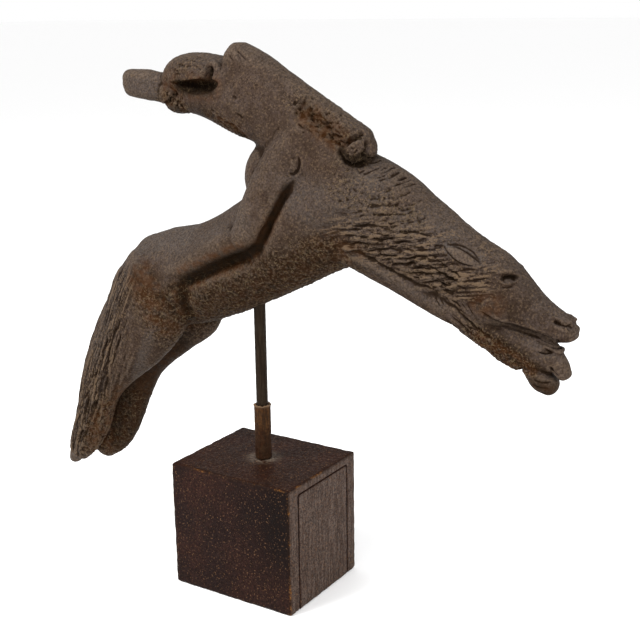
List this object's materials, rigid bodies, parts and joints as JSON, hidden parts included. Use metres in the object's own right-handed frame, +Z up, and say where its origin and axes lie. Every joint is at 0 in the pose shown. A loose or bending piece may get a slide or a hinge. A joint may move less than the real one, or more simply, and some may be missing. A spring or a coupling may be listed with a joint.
{
  "type": "equestrian sculpture",
  "caption": "Cast bronze sculpture of a stretched horse with an abstract rider leaning back over it, held on a steel rod above a square wooden base block.",
  "frame": {"origin": "middle of the base block's underside", "axes": "+Z up along the rod, +X towards the horse's head, -Y towards the side seen in the picture"},
  "size_m": [0.4952, 0.102, 0.4541],
  "materials": {
    "bronze": "dark brown patina, satin, with rusty brown recesses",
    "rod_steel": "dark grey-brown, dull",
    "sleeve_steel": "rusty orange-brown, rough",
    "wood": "dark red-brown stain, satin, worn at the edges"
  },
  "bodies": {
    "root": {"horse_and_rider": "bronze", "mount_rod": "rod_steel", "mount_sleeve": "sleeve_steel", "base_block": "wood", "base_end_panel_right": "wood", "base_end_panel_left": "wood"}
  },
  "joints": []
}
